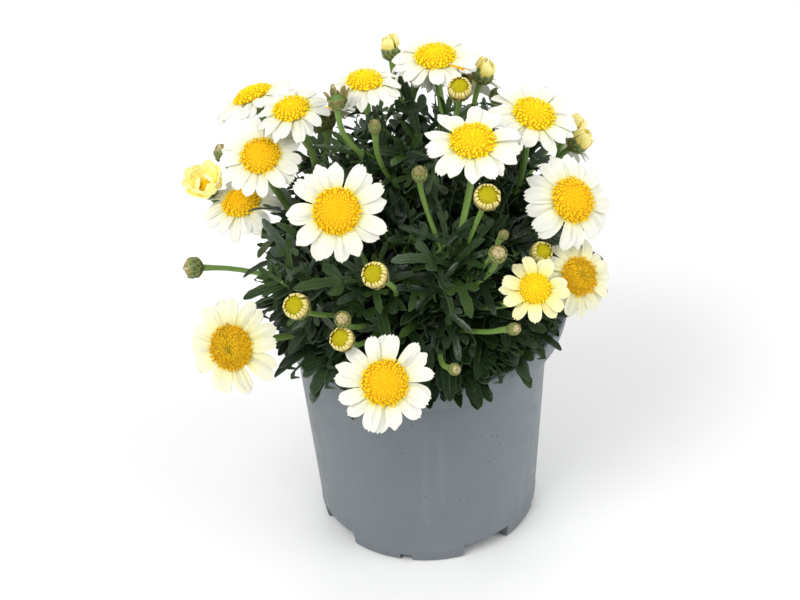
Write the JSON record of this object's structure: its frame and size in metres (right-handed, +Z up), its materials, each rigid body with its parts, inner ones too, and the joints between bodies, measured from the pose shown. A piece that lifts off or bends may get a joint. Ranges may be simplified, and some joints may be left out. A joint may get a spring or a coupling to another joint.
{
  "type": "potted marguerite daisy",
  "caption": "Bushy daisy plant with cut leaves, white and pale yellow blooms and buds on long stalks, rooted in the soil of a round tapered nursery pot.",
  "frame": {"origin": "centre of the pot's flat base, on the surface that the pot stands on", "axes": "+Z up along the pot's axis; -Y towards the side of the plant with most blooms; +X to the right seen from there, where the pot's mouth bulges"},
  "size_m": [0.2054, 0.2228, 0.2505],
  "materials": {
    "pot_plastic": "thin moulded grey plastic, satin, with faint scuffs and soil specks",
    "soil": null,
    "foliage": "dark bluish green leaves with a satin bloom, lighter green stalks and bud scales",
    "white_petals": "matt white petals, tinted yellow where they leave the disc",
    "cream_petals": "matt creamy petals, yellower near the disc",
    "yellow_petals": "matt pale yellow petals of young blooms",
    "disc_florets": "bright orange yellow, grainy",
    "bud_centre": "yellow green, finely grainy"
  },
  "bodies": {
    "root": {"pot": "pot_plastic", "soil": "soil", "shoot_01": "foliage", "shoot_02": "foliage", "shoot_03": "foliage", "shoot_04": "foliage", "shoot_05": "foliage", "shoot_06": "foliage", "shoot_07": "foliage", "shoot_08": "foliage", "shoot_09": "foliage", "bloom_01_rays": "white_petals", "bloom_01_disc": "disc_florets", "bloom_02_rays": "white_petals", "bloom_02_disc": "disc_florets", "bloom_03_rays": "white_petals", "bloom_03_disc": "disc_florets", "bloom_04_rays": "white_petals", "bloom_04_disc": "disc_florets", "bloom_05_rays": "white_petals", "bloom_05_disc": "disc_florets", "bloom_06_rays": "white_petals", "bloom_06_disc": "disc_florets", "bloom_07_rays": "yellow_petals", "bloom_07_disc": "disc_florets", "bloom_08_rays": "white_petals", "bloom_08_disc": "disc_florets", "bloom_09_rays": "white_petals", "bloom_09_disc": "disc_florets", "bloom_10_rays": "white_petals", "bloom_10_disc": "disc_florets", "bloom_11_rays": "white_petals", "bloom_11_disc": "disc_florets", "bloom_12_rays": "cream_petals", "bloom_12_disc": "disc_florets", "bloom_13_rays": "yellow_petals", "bloom_13_disc": "disc_florets", "bloom_14_rays": "cream_petals", "bloom_14_disc": "disc_florets", "bloom_15_rays": "white_petals", "bloom_15_disc": "disc_florets", "bloom_16_rays": "white_petals", "bloom_16_disc": "disc_florets", "bloom_17_rays": "white_petals", "bloom_17_disc": "disc_florets", "bloom_18_rays": "white_petals", "bloom_18_disc": "disc_florets", "bloom_19_rays": "white_petals", "bloom_19_disc": "disc_florets", "bloom_20_rays": "cream_petals", "bloom_20_disc": "disc_florets", "bloom_21_rays": "white_petals", "bloom_21_disc": "disc_florets", "bud_03_centre": "bud_centre", "bud_04_centre": "bud_centre", "bud_06_centre": "bud_centre", "bud_07_centre": "bud_centre", "bud_08_centre": "bud_centre", "bud_12_centre": "bud_centre"}
  },
  "joints": []
}
